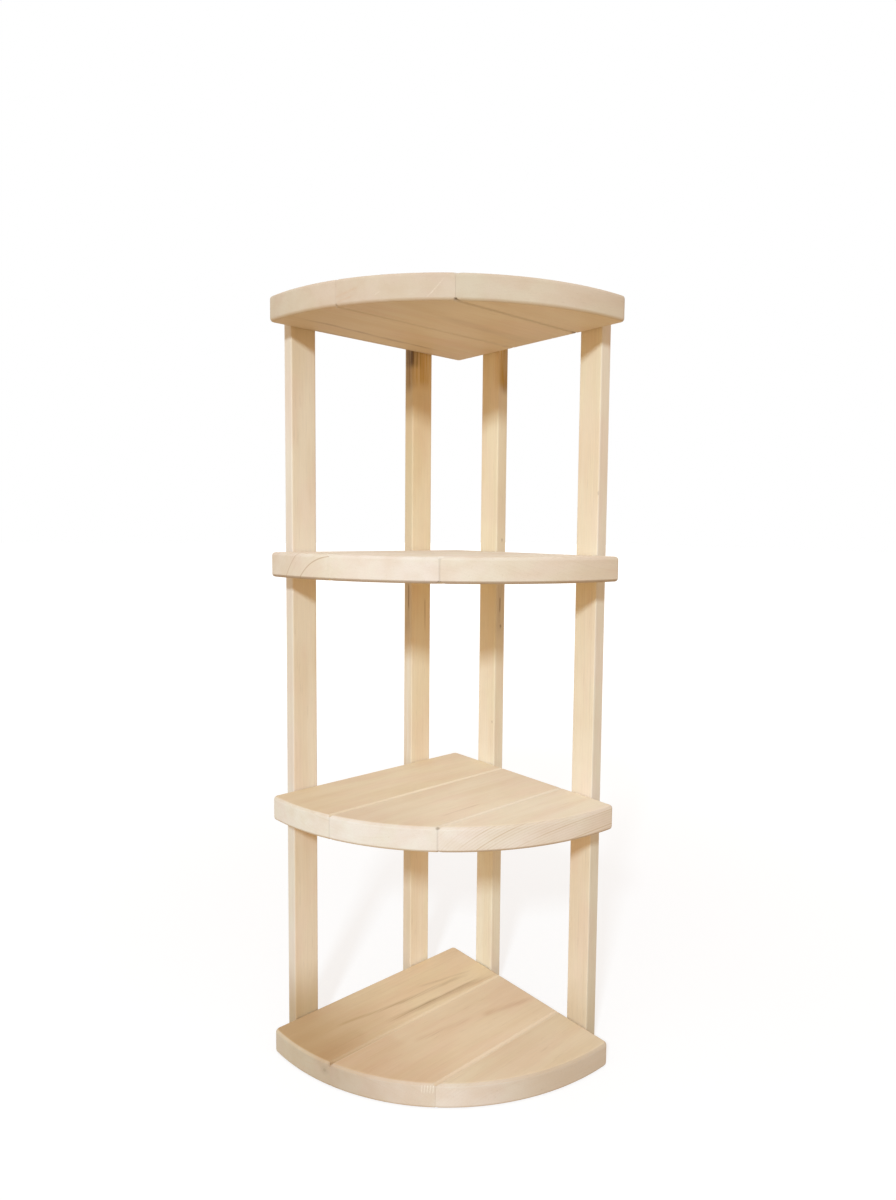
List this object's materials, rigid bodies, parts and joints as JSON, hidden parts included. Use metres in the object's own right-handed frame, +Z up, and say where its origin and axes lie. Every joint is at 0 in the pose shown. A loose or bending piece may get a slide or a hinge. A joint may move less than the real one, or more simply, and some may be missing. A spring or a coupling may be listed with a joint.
{
  "type": "corner shelf unit",
  "caption": "Free-standing corner shelf unit of pale solid wood: quarter-round edge-joined shelves carried outside their straight edges by slim flat posts.",
  "frame": {"origin": "on the floor, at the middle of the unit's footprint box", "axes": "+Z up; the shelves' straight edges lie along -X (left wall side) and +Y (rear wall side), so the walls' corner is towards -X +Y and the round front faces +X -Y"},
  "size_m": [0.318, 0.318, 0.942],
  "materials": {
    "shelf_wood": "sanded pale limewood, unvarnished, soft eased edges",
    "post_wood": "sanded pale wood, straight grain along the post, unvarnished",
    "dowel_wood": "turned beech, unvarnished",
    "screw_steel": "zinc-plated steel, satin"
  },
  "bodies": {
    "root": {"bottom_shelf_wall_board": "shelf_wood", "bottom_shelf_middle_board": "shelf_wood", "bottom_shelf_outer_board": "shelf_wood", "lower_shelf_wall_board": "shelf_wood", "lower_shelf_middle_board": "shelf_wood", "lower_shelf_outer_board": "shelf_wood", "upper_shelf_wall_board": "shelf_wood", "upper_shelf_middle_board": "shelf_wood", "upper_shelf_outer_board": "shelf_wood", "top_shelf_wall_board": "shelf_wood", "top_shelf_middle_board": "shelf_wood", "top_shelf_outer_board": "shelf_wood", "left_front_post": "post_wood", "left_rear_post": "post_wood", "right_rear_post": "post_wood", "right_front_post": "post_wood", "bottom_shelf_dowel_wall_rear": "dowel_wood", "bottom_shelf_dowel_wall_front": "dowel_wood", "bottom_shelf_dowel_outer_rear": "dowel_wood", "bottom_shelf_dowel_outer_front": "dowel_wood", "lower_shelf_dowel_wall_rear": "dowel_wood", "lower_shelf_dowel_wall_front": "dowel_wood", "lower_shelf_dowel_outer_rear": "dowel_wood", "lower_shelf_dowel_outer_front": "dowel_wood", "upper_shelf_dowel_wall_rear": "dowel_wood", "upper_shelf_dowel_wall_front": "dowel_wood", "upper_shelf_dowel_outer_rear": "dowel_wood", "upper_shelf_dowel_outer_front": "dowel_wood", "top_shelf_dowel_wall_rear": "dowel_wood", "top_shelf_dowel_wall_front": "dowel_wood", "top_shelf_dowel_outer_rear": "dowel_wood", "top_shelf_dowel_outer_front": "dowel_wood", "screw_left_front_bottom": "screw_steel", "screw_left_front_lower": "screw_steel", "screw_left_front_upper": "screw_steel", "screw_left_front_top": "screw_steel", "screw_left_rear_bottom": "screw_steel", "screw_left_rear_lower": "screw_steel", "screw_left_rear_upper": "screw_steel", "screw_left_rear_top": "screw_steel", "screw_right_rear_bottom": "screw_steel", "screw_right_rear_lower": "screw_steel", "screw_right_rear_upper": "screw_steel", "screw_right_rear_top": "screw_steel", "screw_right_front_bottom": "screw_steel", "screw_right_front_lower": "screw_steel", "screw_right_front_upper": "screw_steel", "screw_right_front_top": "screw_steel"}
  },
  "joints": []
}
